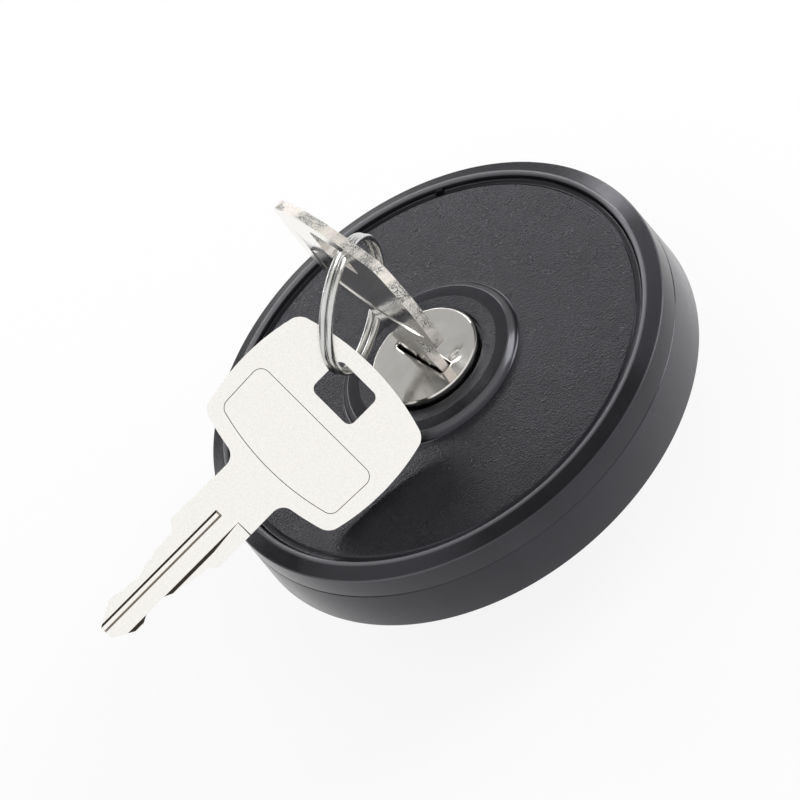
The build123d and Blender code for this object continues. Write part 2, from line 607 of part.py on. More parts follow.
def cut_key(plane):
    """Flat key: a cushion-shaped bow with a hole and panels, and a cut blade."""
    front = plane.offset(KEY_THICKNESS / 2)
    back = plane.offset(-KEY_THICKNESS / 2)
    with BuildPart() as key:
        with BuildSketch(plane) as outline:
            with BuildLine():
                middle = (BOW_END + BOW_BASE) / 2
                far = BOW_CORNER + BOW_BULGE
                base_y = BOW_BASE - BOW_BASE_BULGE
                ThreePointArc((-BOW_CORNER, BOW_END), (0, BOW_CREST), (BOW_CORNER, BOW_END))
                ThreePointArc((BOW_CORNER, BOW_END), (far, middle), (BOW_CORNER, BOW_BASE))
                ThreePointArc((BOW_CORNER, BOW_BASE), (0, base_y), (-BOW_CORNER, BOW_BASE))
                ThreePointArc((-BOW_CORNER, BOW_BASE), (-far, middle), (-BOW_CORNER, BOW_END))
            make_face()
            fillet(outline.vertices(), radius=BOW_CORNER_FILLET)
            with BuildLine():
                Polyline(
                    (KEY_NECK, BOW_BASE),
                    (-KEY_NECK, BOW_BASE),
                    (-KEY_BLADE, -KEY_SHOULDER),
                    *bitting(BITTING_LEFT, -1),
                    (-1.0, -KEY_TIP),
                    (1.0, -KEY_TIP),
                    *bitting(BITTING_RIGHT, 1)[::-1],
                    (KEY_BLADE, -KEY_SHOULDER),
                    close=True,
                )
            make_face()
            necks = outline.vertices().sort_by_distance((0, base_y, 0))[:2]
            fillet(necks, radius=NECK_FILLET)
            with Locations((0, KEY_HOLE_Y)):
                RectangleRounded(KEY_HOLE_WIDTH, KEY_HOLE_LENGTH, KEY_HOLE_FILLET, mode=Mode.SUBTRACT)
        extrude(amount=KEY_THICKNESS / 2, both=True)
        # a shallow panel on each face of the bow
        for face, inward in ((front, -PANEL_DEPTH), (back, PANEL_DEPTH)):
            with BuildSketch(face) as panel:
                with BuildLine():
                    top = PANEL_TOP_WIDTH / 2
                    base = PANEL_BASE_WIDTH / 2
                    Polyline((base, PANEL_BASE), (top, PANEL_TOP), (-top, PANEL_TOP), (-base, PANEL_BASE))
                    ThreePointArc((-base, PANEL_BASE), (0, PANEL_BASE - PANEL_BULGE), (base, PANEL_BASE))
                make_face()
                fillet(panel.vertices(), radius=PANEL_FILLET)
            extrude(amount=inward, mode=Mode.SUBTRACT)
        # grooves milled along the blade and out at the tip
        for face, inward, groove in (
            (front, -GROOVE_DEPTH, MAIN_GROOVE),
            (back, GROOVE_DEPTH, BACK_GROOVE),
        ):
            across, width, start = groove
            with BuildSketch(face):
                with Locations((across, (start - KEY_TIP) / 2 - 1)):
                    Rectangle(width, start + KEY_TIP + 2)
            extrude(amount=inward, taper=GROOVE_SLOPE, mode=Mode.SUBTRACT)
        # one edge of the blade is milled lower, and the cut runs out at the neck
        sections = []
        for y, depth in ((STEP_START, 0.02), (STEP_START - STEP_RUN, GROOVE_DEPTH)):
            section_plane = Plane(
                origin=front.from_local_coords(Vector(0, y, 0)), x_dir=front.x_dir, z_dir=-front.y_dir
            )
            with BuildSketch(section_plane) as step_section:
                Polygon(
                    (STEP_EDGE, 0),
                    (STEP_EDGE + STEP_WALL * depth / GROOVE_DEPTH, -depth),
                    (KEY_BLADE + 1, -depth),
                    (KEY_BLADE + 1, 0),
                    align=None,
                )
            sections.append(step_section.sketch)
        loft(sections, mode=Mode.SUBTRACT)
        extrude(sections[1], amount=KEY_TIP + STEP_START - STEP_RUN, mode=Mode.SUBTRACT)
    return key


# the key in the lock stands in the keyway
lean = radians(KEY_LEAN)
along_slot = Vector(cos(radians(KEY_AZIMUTH)), sin(radians(KEY_AZIMUTH)), 0)
bow_ward = Vector(0, 0, 1) * cos(lean) + along_slot * sin(lean)
across_key = along_slot * cos(lean) - Vector(0, 0, 1) * sin(lean)
key_datum = Vector(0, 0, KEY_PIVOT_Z) + bow_ward * (KEY_DATUM_Z - KEY_PIVOT_Z) + across_key * KEY_SHIFT
key_1 = cut_key(Plane(origin=key_datum, x_dir=across_key, z_dir=across_key.cross(bow_ward)))
key_1.part.label = "key_1"
export_step(key_1.part, "parts/key_1.step")

# the spare key hangs on the ring and rests near the disc
spare_across = SPARE_NORMAL.cross(SPARE_TIPWARD)
key_2 = cut_key(Plane(origin=SPARE_DATUM, x_dir=spare_across, z_dir=SPARE_NORMAL))
key_2.part.label = "key_2"
export_step(key_2.part, "parts/key_2.step")

# ---------------------------------------------------------------- split ring
ring_axis = RING_NORMAL
ring_x = (Vector(1, 0, 0) - ring_axis * ring_axis.X).normalized()
ring_y = ring_axis.cross(ring_x)


def on_ring(angle, lift):
    """Point on the centre line of a turn, lifted along the ring's axis."""
    turn = radians(angle)
    return RING_CENTRE + (ring_x * cos(turn) + ring_y * sin(turn)) * RING_RADIUS + ring_axis * lift


def round_ring(angle):
    """Direction of the wire at an angle round the ring."""
    turn = radians(angle)
    return ring_y * cos(turn) - ring_x * sin(turn)


with BuildPart() as key_ring:
    lift = RING_WIRE + RING_GAP / 2
    first = RING_STEP_AT + RING_STEP / 2
    last = RING_STEP_AT + 360 - RING_STEP / 2
    for height in (lift, -lift):
        start_plane = Plane(origin=on_ring(first, height), x_dir=ring_axis, z_dir=round_ring(first))
        with BuildSketch(start_plane):
            Circle(RING_WIRE)
        revolve(axis=Axis(RING_CENTRE, ring_axis), revolution_arc=last - first)
    # the wire steps from one turn to the other
    with BuildLine() as step_line:
        Spline(
            [on_ring(last, lift), on_ring(first, -lift)],
            tangents=[round_ring(last), round_ring(first)],
        )
    with BuildSketch(Plane(origin=on_ring(last, lift), x_dir=ring_axis, z_dir=round_ring(last))):
        Circle(RING_WIRE)
    sweep(path=step_line.wire())
key_ring.part.label = "key_ring"
export_step(key_ring.part, "parts/key_ring.step")
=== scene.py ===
import bmesh
import bpy
import numpy as np
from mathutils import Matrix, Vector


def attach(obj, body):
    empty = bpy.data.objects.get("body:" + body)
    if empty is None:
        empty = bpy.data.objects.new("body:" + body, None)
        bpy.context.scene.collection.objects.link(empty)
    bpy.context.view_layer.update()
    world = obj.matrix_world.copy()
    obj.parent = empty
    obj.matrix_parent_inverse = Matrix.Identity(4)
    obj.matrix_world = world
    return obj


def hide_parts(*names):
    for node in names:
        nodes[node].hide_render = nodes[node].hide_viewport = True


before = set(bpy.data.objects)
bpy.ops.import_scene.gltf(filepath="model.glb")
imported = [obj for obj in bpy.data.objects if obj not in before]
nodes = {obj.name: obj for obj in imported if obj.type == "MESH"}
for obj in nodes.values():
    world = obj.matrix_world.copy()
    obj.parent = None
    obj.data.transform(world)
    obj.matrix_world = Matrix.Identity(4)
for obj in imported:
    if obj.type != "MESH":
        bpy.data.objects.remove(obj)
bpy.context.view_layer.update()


# ------------------------------------------------------------------ closure body
# The part that locks into the filler neck: flange, spigot and two bayonet lugs
# in black nylon, with the base plate and its toothed ring snapped into the end.
# Moulded in one two-part tool, so its faces are smooth with a faint mottle.
MM = 0.001  # metres


def shader(name):
    """Empty material: returns it, its tree and its Principled shader."""
    material = bpy.data.materials.new(name)
    material.use_nodes = True
    tree = material.node_tree
    return material, tree, tree.nodes["Principled BSDF"]


def noise(tree, size_mm, detail=4.0, stretch=(1, 1, 1)):
    """Noise in object space whose features are about size_mm across, and
    longer along an axis where stretch is below 1."""
    where = tree.nodes.new("ShaderNodeTexCoord")
    scale = tree.nodes.new("ShaderNodeMapping")
    scale.inputs["Scale"].default_value = stretch
    wave = tree.nodes.new("ShaderNodeTexNoise")
    wave.inputs["Scale"].default_value = 1 / (size_mm * MM)
    wave.inputs["Detail"].default_value = detail
    wave.inputs["Roughness"].default_value = 0.55
    tree.links.new(where.outputs["Object"], scale.inputs["Vector"])
    tree.links.new(scale.outputs["Vector"], wave.inputs["Vector"])
    return wave.outputs["Fac"]


def spread(tree, value, low, high, start=0.3, end=0.7):
    """Value from start..end carried to low..high, clamped."""
    node = tree.nodes.new("ShaderNodeMapRange")
    node.inputs["From Min"].default_value = start
    node.inputs["From Max"].default_value = end
    node.inputs["To Min"].default_value = low
    node.inputs["To Max"].default_value = high
    tree.links.new(value, node.inputs["Value"])
    return node.outputs["Result"]


def two_tone(tree, value, dark, light, start=0.3, end=0.7):
    """Colour that runs from dark to light as value goes from start to end."""
    ramp = tree.nodes.new("ShaderNodeValToRGB")
    ramp.color_ramp.elements[0].position = start
    ramp.color_ramp.elements[0].color = (*dark, 1)
    ramp.color_ramp.elements[1].position = end
    ramp.color_ramp.elements[1].color = (*light, 1)
    tree.links.new(value, ramp.inputs["Fac"])
    return ramp.outputs["Color"]


def raised(tree, height, depth_mm, under=None):
    """Bump of a height field, depth_mm from lowest to highest, laid over the
    bump under it."""
    bump = tree.nodes.new("ShaderNodeBump")
    bump.inputs["Strength"].default_value = 1.0
    bump.inputs["Distance"].default_value = depth_mm * MM
    tree.links.new(height, bump.inputs["Height"])
    if under is not None:
        tree.links.new(under, bump.inputs["Normal"])
    return bump.outputs["Normal"]


def coat(tree, skin, colour, gloss, bump):
    """Joins a colour, a roughness and a bump to the shader."""
    tree.links.new(colour, skin.inputs["Base Color"])
    tree.links.new(gloss, skin.inputs["Roughness"])
    tree.links.new(bump, skin.inputs["Normal"])


def moulded(name, dark, light, roughness, grain_mm, grain_depth):
    """Moulded plastic: faint mottle, flow marks and a fine grain."""
    material, tree, skin = shader(name)
    mottle = two_tone(tree, noise(tree, 6.0, detail=5), dark, light)
    gloss = spread(tree, noise(tree, 2.5), roughness, roughness + 0.12)
    coat(tree, skin, mottle, gloss, raised(tree, noise(tree, grain_mm, detail=3), grain_depth))
    return material


def finish_node(name, material):
    """Gives a carried-over node its material."""
    nodes[name].data.materials.clear()
    nodes[name].data.materials.append(material)


body_black = moulded("body_nylon", (0.016, 0.016, 0.017), (0.03, 0.03, 0.032), 0.38, 0.5, 0.02)
finish_node("closure_body", body_black)
finish_node("spigot_base", body_black)


# ------------------------------------------------------------------ vent valve and gasket
# Nitrile rubber: an umbrella valve pulled into the base plate by its stem, and
# a flat ring under the flange that seals on the neck.
def rubber(name, tone):
    """Matt rubber with a dusty bloom in patches."""
    material, tree, skin = shader(name)
    bloom = noise(tree, 4.0, detail=6)
    dusty = tuple(c * 2.2 for c in tone)
    patches = two_tone(tree, bloom, tone, dusty, 0.35, 0.8)
    skin_grain = raised(tree, noise(tree, 0.25, detail=2), 0.015)
    coat(tree, skin, patches, spread(tree, bloom, 0.62, 0.8), skin_grain)
    return material


nitrile = rubber("nitrile_rubber", (0.014, 0.014, 0.015))
finish_node("vent_valve", nitrile)
finish_node("gasket", nitrile)


# ------------------------------------------------------------------ hub and its bearing
# The hub carries the lock and turns in the closure body: natural acetal, with
# a slippery washer between them and a spring-steel ring that keeps it in.
acetal = moulded("acetal", (0.5, 0.48, 0.43), (0.6, 0.58, 0.52), 0.34, 0.6, 0.015)
washer_nylon = moulded("washer_nylon", (0.6, 0.59, 0.55), (0.68, 0.67, 0.62), 0.42, 0.4, 0.01)
finish_node("hub", acetal)
finish_node("thrust_washer", washer_nylon)


def bare_metal(name, dark, light, roughness, scratch_mm, depth=0.006):
    """Plated or bare metal: mottled tone, uneven gloss and fine scratches."""
    material, tree, skin = shader(name)
    skin.inputs["Metallic"].default_value = 1.0
    mottle = two_tone(tree, noise(tree, 2.2, detail=6), dark, light)
    gloss = spread(tree, noise(tree, 1.1, detail=5), roughness, roughness + 0.14)
    coat(tree, skin, mottle, gloss, raised(tree, noise(tree, scratch_mm, detail=3), depth))
    return material


spring_steel = bare_metal("spring_steel", (0.2, 0.2, 0.21), (0.38, 0.38, 0.39), 0.3, 0.3)
plated_screw = bare_metal("plated_screw", (0.42, 0.41, 0.38), (0.6, 0.59, 0.56), 0.28, 0.25)
finish_node("retaining_ring", spring_steel)
finish_node("cover_screws", plated_screw)


# ------------------------------------------------------------------ lock
# A die-cast barrel and plug, brass wafers, a clip and a cam, and the bolt that
# the cam pushes: all hidden but for what shows down the keyway.
zinc = bare_metal("die_cast_zinc", (0.25, 0.25, 0.26), (0.42, 0.42, 0.43), 0.4, 0.35, depth=0.012)
dark_zinc = bare_metal(
    "plug_zinc", (0.03, 0.028, 0.026), (0.09, 0.085, 0.08), 0.45, 0.35, depth=0.012
)
brass = bare_metal("wafer_brass", (0.5, 0.36, 0.14), (0.68, 0.5, 0.22), 0.3, 0.2)
bolt_steel = bare_metal("bolt_steel", (0.4, 0.4, 0.4), (0.6, 0.6, 0.6), 0.3, 0.3)
finish_node("lock_barrel", zinc)
finish_node("cam_plate", zinc)
finish_node("lock_plug", dark_zinc)
finish_node("wafers", brass)
finish_node("plug_clip", spring_steel)
finish_node("locking_bolt", bolt_steel)


# ------------------------------------------------------------------ outer shell
# The ring that the hand grips, moulded in black polypropylene: a plain side
# wall with a parting line, a sloping rim with a thin crest, ribs inside.
def put_mesh(name, points, faces, material):
    """Makes a piece from points in millimetres.  Edges that turn by more than
    32 degrees stay sharp."""
    mesh = bpy.data.meshes.new(name)
    mesh.from_pydata((np.asarray(points) * MM).tolist(), [], faces)
    mesh.materials.append(material)
    mesh.shade_smooth()
    mesh.set_sharp_from_angle(angle=np.radians(32))
    piece = bpy.data.objects.new(name, mesh)
    bpy.context.scene.collection.objects.link(piece)
    return piece


def grid_faces(rows, columns):
    """Quads of a grid that closes both ways: a turn and a closed profile."""
    row, column = np.meshgrid(np.arange(rows), np.arange(columns), indexing="ij")
    right = (row + 1) % rows
    up = (column + 1) % columns
    corners = [(row, column), (right, column), (right, up), (row, up)]
    quads = np.stack([r * columns + c for r, c in corners], -1)
    return quads.reshape(-1, 4).tolist()


def rounded(corners, steps=4):
    """Closed profile through corners (r, z, fillet): each corner becomes the
    quadratic curve that starts and ends one fillet away from it."""
    corners = np.array(corners, float)
    point = corners[:, :2]
    before = np.roll(point, 1, 0) - point
    after = np.roll(point, -1, 0) - point
    longest = 0.49  # part of a side that one fillet may take
    reach_back = np.minimum(corners[:, 2] / np.linalg.norm(before, axis=1), longest)
    reach_on = np.minimum(corners[:, 2] / np.linalg.norm(after, axis=1), longest)
    start = point + before * reach_back[:, None]
    end = point + after * reach_on[:, None]
    t = np.linspace(0, 1, steps)[None, :, None]
    curve = start[:, None] * (1 - t) ** 2 + point[:, None] * 2 * t * (1 - t) + end[:, None] * t**2
    return curve.reshape(-1, 2)


def turned(profile, turns, wobble=None):
    """Profile (r, z) carried round the axis: x = r cos a, y = r sin a.
    wobble(a, r, z) may shift the radius and the height."""
    angle = np.linspace(0, 2 * np.pi, turns, endpoint=False)[:, None]
    radius = np.repeat(profile[None, :, 0], turns, 0)
    height = np.repeat(profile[None, :, 1], turns, 0)
    if wobble is not None:
        radius, height = wobble(angle, radius, height)
    points = np.stack([radius * np.cos(angle), radius * np.sin(angle), height], -1)
    return points.reshape(-1, 3)


SHELL_TURNS = 360
WALL_RADIUS = 37.74
PARTING_HEIGHT = 5.4
GROOVE_FILLED = 0.11  # how much of the groove's depth fades away
CREST_FOOT = 9.5
STOP_ANGLE = 57.0
shell_profile = rounded(
    [
        (38.2, -1.98, 0.35),
        (37.755, 5.22, 0.05),
        (37.62, 5.34, 0.04),
        (37.62, 5.48, 0.04),
        (37.745, 5.58, 0.05),
        (37.525, 8.68, 0.05),
        (37.5, 8.94, 0.10),
        (37.2, 9.04, 0.05),
        (35.38, 9.70, 0.10),
        (34.86, 9.96, 0.42),
        (34.46, 9.50, 0.30),
        (34.44, 8.76, 0.10),
        (34.34, 8.70, 0.03),
        (34.34, 7.02, 0.03),
        (31.0, 7.0, 0.02),
        (31.0, 6.0, 0.02),
        (35.5, 6.0, 0.3),
        (36.2, -1.98, 0.35),
    ]
)


def rim_wear(angle, radius, height):
    """The crest is a little uneven, by a sine of 47 and one of 5 waves a
    turn.  The parting line's groove is deepest at -45 degrees, and fades
    with the cosine of the angle from there."""
    crest = np.clip((height - CREST_FOOT) / 0.3, 0, 1)
    ripple = 0.006 * np.sin(47 * angle + 2) + 0.012 * np.sin(5 * angle)
    groove = np.exp(-(((height - PARTING_HEIGHT) / 0.09) ** 4))
    groove = groove * np.clip((WALL_RADIUS - radius) / 0.08, 0, 1)
    shallow = 0.5 - 0.5 * np.cos(angle + np.radians(45))
    return radius + groove * shallow * GROOVE_FILLED, height + crest * ripple


shell_points = turned(shell_profile, SHELL_TURNS, rim_wear)
shell_faces = grid_faces(SHELL_TURNS, len(shell_profile))


def blocks(angles, near, far, low, high, thick):
    """Bars that stand radially: for each angle in degrees, a box from radius
    near to far, from height low to high, and its six faces."""
    corner = np.array([[x, y, z] for x in (0, 1) for y in (-0.5, 0.5) for z in (0, 1)], float)
    r = near + corner[:, 0] * (far - near)
    side = corner[:, 1] * thick
    z = low + corner[:, 2] * (high - low)
    a = np.radians(np.asarray(angles, float))[:, None]
    x = r * np.cos(a) - side * np.sin(a)
    y = r * np.sin(a) + side * np.cos(a)
    points = np.stack([x, y, z + 0 * a], -1)
    ends = [[0, 1, 3, 2], [4, 6, 7, 5]]
    flanks = [[0, 4, 5, 1], [2, 3, 7, 6]]
    flats = [[0, 2, 6, 4], [1, 5, 7, 3]]
    first_corner = np.arange(len(angles))[:, None, None] * len(corner)
    faces = np.array(ends + flanks + flats)[None] + first_corner
    return points.reshape(-1, 3), faces.reshape(-1, 4)


rib_angles = 11.25 + 22.5 * np.arange(16)
rib_points, rib_faces = blocks(rib_angles, near=34.3, far=35.9, low=0.5, high=6.02, thick=1.4)
stop_points, stop_faces = blocks([STOP_ANGLE], near=34.1, far=34.9, low=7.0, high=9.35, thick=1.1)


def blended(tree, factor, below, above):
    """Colour below where the factor is 0 and above where it is 1.  Each is
    another node's colour or a plain one."""
    layer = tree.nodes.new("ShaderNodeMix")
    layer.data_type = "RGBA"
    tree.links.new(factor, layer.inputs["Factor"])
    for side, colour in (("A", below), ("B", above)):
        if isinstance(colour, tuple):
            layer.inputs[side].default_value = (*colour, 1)
        else:
            tree.links.new(colour, layer.inputs[side])
    return layer.outputs["Result"]


def tone_with_painted_highlight(tree, tone, pale):
    """Tone that turns pale where the point attribute read here is 1: a highlight painted into the
    colour.
    """
    painted_highlight = tree.nodes.new("ShaderNodeAttribute")
    painted_highlight.attribute_name = "painted_highlight"
    return blended(tree, painted_highlight.outputs["Fac"], tone, pale)


def paint_highlight(piece, rings, skirt_highlight=0.0):
    """Paints a highlight into the point attribute read above.  Near each ring,
    given as radius, half width, least height, strength and patchiness, it is
    strength times exp(-(distance / half width)^4), less in three patches.  On
    the skirt below the parting line it is the last argument times
    exp(-((angle + 20) / 45)^2): a painted highlight on that side of the wall."""
    points = np.zeros(len(piece.data.vertices) * 3)
    piece.data.vertices.foreach_get("co", points)
    points = points.reshape(-1, 3) / MM
    radius = np.hypot(points[:, 0], points[:, 1])
    angle = np.degrees(np.arctan2(points[:, 1], points[:, 0]))
    skirt = (radius > WALL_RADIUS) & (points[:, 2] < PARTING_HEIGHT - 0.1)
    painted_highlight = skirt * skirt_highlight * np.exp(-(((angle + 20) / 45) ** 2))
    patches = 0.5 - 0.5 * np.cos(3 * np.radians(angle + 142))
    for ring, half_width, above, strength, patchy in rings:
        near = np.exp(-(((radius - ring) / half_width) ** 4)) * (points[:, 2] > above)
        painted_highlight = np.maximum(painted_highlight, near * strength * (1 - patchy * patches))
    piece.data.attributes.new("painted_highlight", "FLOAT", "POINT").data.foreach_set("value", painted_highlight)


shell_black, tree, skin = shader("shell_polypropylene")
skin.inputs["Specular Tint"].default_value = (0.9, 0.9, 1.0, 1)
mottle = noise(tree, 9, detail=6)
tone = two_tone(tree, mottle, (0.008, 0.008, 0.0095), (0.014, 0.014, 0.0165), 0.35, 0.75)
drag = noise(tree, 1.4, detail=5, stretch=(1, 1, 0.12))
gloss = spread(tree, drag, 0.20, 0.24, 0.35, 0.7)
fine_grain = raised(tree, noise(tree, 0.2, detail=2), 0.004)
# The pale colour is a painted highlight, laid where the point attribute is 1.
coat(tree, skin, tone_with_painted_highlight(tree, tone, (0.165, 0.165, 0.175)), gloss, fine_grain)

first_rib = len(shell_points)
first_stop = first_rib + len(rib_points)
grip = put_mesh(
    "shell_grip_ring",
    np.vstack([shell_points, rib_points, stop_points]),
    shell_faces + (rib_faces + first_rib).tolist() + (stop_faces + first_stop).tolist(),
    shell_black,
)
# Painted highlights: a pale ring along the crest, a patchy pale line at the outer edge of the
# bevel, and a paler stretch of the skirt round -20 degrees.
crest_highlight = (34.88, 0.40, CREST_FOOT, 1.0, 0.15)
shoulder_highlight = (37.46, 0.10, 8.82, 0.5, 0.9)
paint_highlight(grip, [crest_highlight, shoulder_highlight], skirt_highlight=0.4)
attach(grip, "shell_cap")
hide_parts("grip_ring")


# ------------------------------------------------------------------ cover disc
# A separate moulding let into the rim: spark-grained like fine leather, with a
# smooth raised boss round the lock, and a rough line of flash along its edge.
COVER_TURNS = 720
FLASH_HEIGHT = 8.86
EDGE_START = 33.7
BOSS_BAND = (11.4, 14.7)
EDGE_BAND = 33.1
cover_profile = rounded(
    [
        (13.40, 10.32, 0.22),
        (11.4, 10.30, 0.10),
        (9.25, 10.18, 0.15),
        (9.05, 10.0, 0.12),
        (9.05, 8.2, 0.02),
        (10.2, 8.2, 0.02),
        (10.2, 7.0, 0.02),
        (34.25, 7.0, 0.1),
        (34.28, 8.80, 0.05),
        (34.16, 8.96, 0.06),
        (34.02, 8.84, 0.06),
        (33.4, 8.78, 0.15),
        (33.1, 8.98, 0.15),
        (24.0, 9.0, 1.0),
        (15.0, 9.0, 0.4),
        (14.50, 9.12, 0.25),
        (14.12, 9.74, 0.30),
    ],
    steps=6,
)


def cover_edge(angle, radius, height):
    """Flash along the edge: the sum of 24 sines of 20 to 300 waves a turn,
    each as high as one over the root of its count, strongest within 22
    degrees of the stop rib; and the notch where the edge clears that rib."""
    rng = np.random.default_rng(4)
    phase = rng.uniform(0, 2 * np.pi, 24)
    count = rng.integers(20, 300, 24)
    waves = np.sin(count * angle + phase) / np.sqrt(count) * 4
    rough = waves.sum(-1, keepdims=True)
    outer = np.clip((radius - EDGE_START) / 0.4, 0, 1)
    from_stop = (np.degrees(angle) - STOP_ANGLE + 180) % 360 - 180
    notch = np.clip((1.55 - np.abs(from_stop)) / 0.25, 0, 1)
    torn = 0.15 + 0.85 * np.exp(-(((from_stop + 8) / 22) ** 4))
    crest = np.clip((height - FLASH_HEIGHT) / 0.06, 0, 1) * outer
    shifted = radius + crest * torn * rough * 0.012 - outer * notch * 0.75
    return shifted, height + crest * torn * np.clip(rough, -2, 3) * 0.02


cover_grain, tree, skin = shader("cover_grained")
skin.inputs["Specular Tint"].default_value = (0.9, 0.9, 1.0, 1)
mottle = noise(tree, 7, detail=6)
tone = two_tone(tree, mottle, (0.007, 0.007, 0.0085), (0.012, 0.012, 0.0145), 0.35, 0.75)
# Pale specks painted into the grain's colour: painted glints off its pebbles.
specks = two_tone(tree, noise(tree, 0.5, detail=1), (0, 0, 0), (1, 1, 1), 0.835, 0.85)
glint_specked = blended(tree, specks, tone, (0.25, 0.25, 0.26))
gloss = spread(tree, noise(tree, 2.0, detail=5), 0.26, 0.34)
pebble = raised(tree, noise(tree, 0.26, detail=1), 0.12)
coat(tree, skin, glint_specked, gloss, raised(tree, noise(tree, 1.2, detail=2), 0.02, under=pebble))

cover_smooth, tree, skin = shader("cover_smooth_band")
skin.inputs["Specular Tint"].default_value = (0.88, 0.88, 1.0, 1)
tone = two_tone(tree, noise(tree, 5, detail=6), (0.007, 0.007, 0.0085), (0.012, 0.012, 0.014))
gloss = spread(tree, noise(tree, 1.5, detail=5), 0.17, 0.22)
fine_grain = raised(tree, noise(tree, 0.2, detail=3), 0.004)
# The pale colour is a painted highlight, laid where the point attribute is 1.
coat(tree, skin, tone_with_painted_highlight(tree, tone, (0.07, 0.07, 0.073)), gloss, fine_grain)

cover_points = turned(cover_profile, COVER_TURNS, cover_edge)
cover_faces = grid_faces(COVER_TURNS, len(cover_profile))
cover = put_mesh("cover_disc_grained", cover_points, cover_faces, cover_grain)
cover.data.materials.append(cover_smooth)
middles = np.zeros(len(cover.data.polygons) * 3)
cover.data.polygons.foreach_get("center", middles)
middles = middles.reshape(-1, 3) / MM
reach = np.hypot(middles[:, 0], middles[:, 1])
boss = (reach > BOSS_BAND[0]) & (reach < BOSS_BAND[1]) & (middles[:, 2] > 9.05)
smooth = boss | (reach > EDGE_BAND)
cover.data.polygons.foreach_set("material_index", smooth.astype(np.int32))
# A pale ring painted along the boss's rounded edge: a painted highlight.
boss_highlight = (13.8, 0.42, 9.4, 1.0, 0.0)
paint_highlight(cover, [boss_highlight])
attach(cover, "shell_cap")
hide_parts("cover_disc")


# ------------------------------------------------------------------ lock face
# A cap pressed from stainless sheet over the head of the plug, with the slot
# pierced through it: polished, with a bright chamfer round the edge.
SLOT_TURN = np.radians(-77.5)
SLOT_HALF_LENGTH, SLOT_HALF_WIDTH = 5.75, 1.06
SLOT_SQUARENESS = 9.0
FACE_RADIUS, FACE_TOP = 8.65, 11.35
FACE_TURNS = 256


def face_ring(stretch, drop):
    """One closed line of the pressed cap, at a depth drop below its top:
    P = slot (1 - stretch) + circle stretch.  The slot's edge is the
    superellipse |x / length|^n + |y / width|^n = 1, n its squareness."""
    a = np.linspace(0, 2 * np.pi, FACE_TURNS, endpoint=False)
    across = np.stack([np.cos(a), np.sin(a)], -1)
    half_sizes = np.array([SLOT_HALF_LENGTH, SLOT_HALF_WIDTH])
    slot = half_sizes * np.sign(across) * np.abs(across) ** (2.0 / SLOT_SQUARENESS)
    x, y = (slot * (1 - stretch) + FACE_RADIUS * across * stretch).T
    turned_x = x * np.cos(SLOT_TURN) - y * np.sin(SLOT_TURN)
    turned_y = x * np.sin(SLOT_TURN) + y * np.cos(SLOT_TURN)
    return np.stack([turned_x, turned_y, np.full(FACE_TURNS, FACE_TOP - drop)], -1)


pierced_edge = [(0.0, 0.48), (0.0, 0.22), (0.012, 0.10), (0.035, 0.02), (0.06, 0.0)]
flat_top = [(s, 0.0) for s in (0.15, 0.3, 0.45, 0.6, 0.75, 0.88, 0.93, 0.944)]
chamfer = [(0.952, 0.01), (0.985, 0.20), (0.997, 0.29), (1.0, 0.36)]
skirt_wall = [(1.0, 0.6), (1.0, 1.58), (0.945, 1.58), (0.945, 0.5)]
underside = [(0.7, 0.5), (0.35, 0.5)]
face_section = pierced_edge + flat_top + chamfer + skirt_wall + underside
face_points = np.stack([face_ring(stretch, drop) for stretch, drop in face_section], 1)
# A shallow dimple where the punch bruised the sheet.
from_dimple = np.hypot(face_points[..., 0] - 3.2, face_points[..., 1] + 4.9)
dimple = 0.12 * np.exp(-((from_dimple / 0.8) ** 4))
face_points[..., 2] -= np.where(face_points[..., 2] > FACE_TOP - 0.15, dimple, 0)

polished, tree, skin = shader("polished_steel")
skin.inputs["Metallic"].default_value = 1.0
tone = two_tone(tree, noise(tree, 4, detail=4), (0.70, 0.68, 0.645), (0.79, 0.77, 0.735))
gloss = spread(tree, noise(tree, 1.5, detail=5), 0.10, 0.17)
brushed = raised(tree, noise(tree, 0.3, detail=2, stretch=(1, 0.15, 1)), 0.0008)
coat(tree, skin, tone, gloss, raised(tree, noise(tree, 5.0, detail=1), 0.012, under=brushed))
face_faces = grid_faces(FACE_TURNS, len(face_section))
face_cap = put_mesh("lock_face_pressed", face_points.reshape(-1, 3), face_faces, polished)
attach(face_cap, "plug")
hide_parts("lock_face")


# ------------------------------------------------------------------ keys
# Two keys blanked from nickel-plated brass strip: one face edge is rolled over
# by the punch, the sheared edges are rough, and the bow has a shallow panel.
def mixed(tree, factor, below, above):
    """Number below where the factor is 0 and above where it is 1."""
    layer = tree.nodes.new("ShaderNodeMix")
    tree.links.new(factor, layer.inputs["Factor"])
    for side, value in (("A", below), ("B", above)):
        if isinstance(value, float):
            layer.inputs[side].default_value = value
        else:
            tree.links.new(value, layer.inputs[side])
    return layer.outputs["Result"]


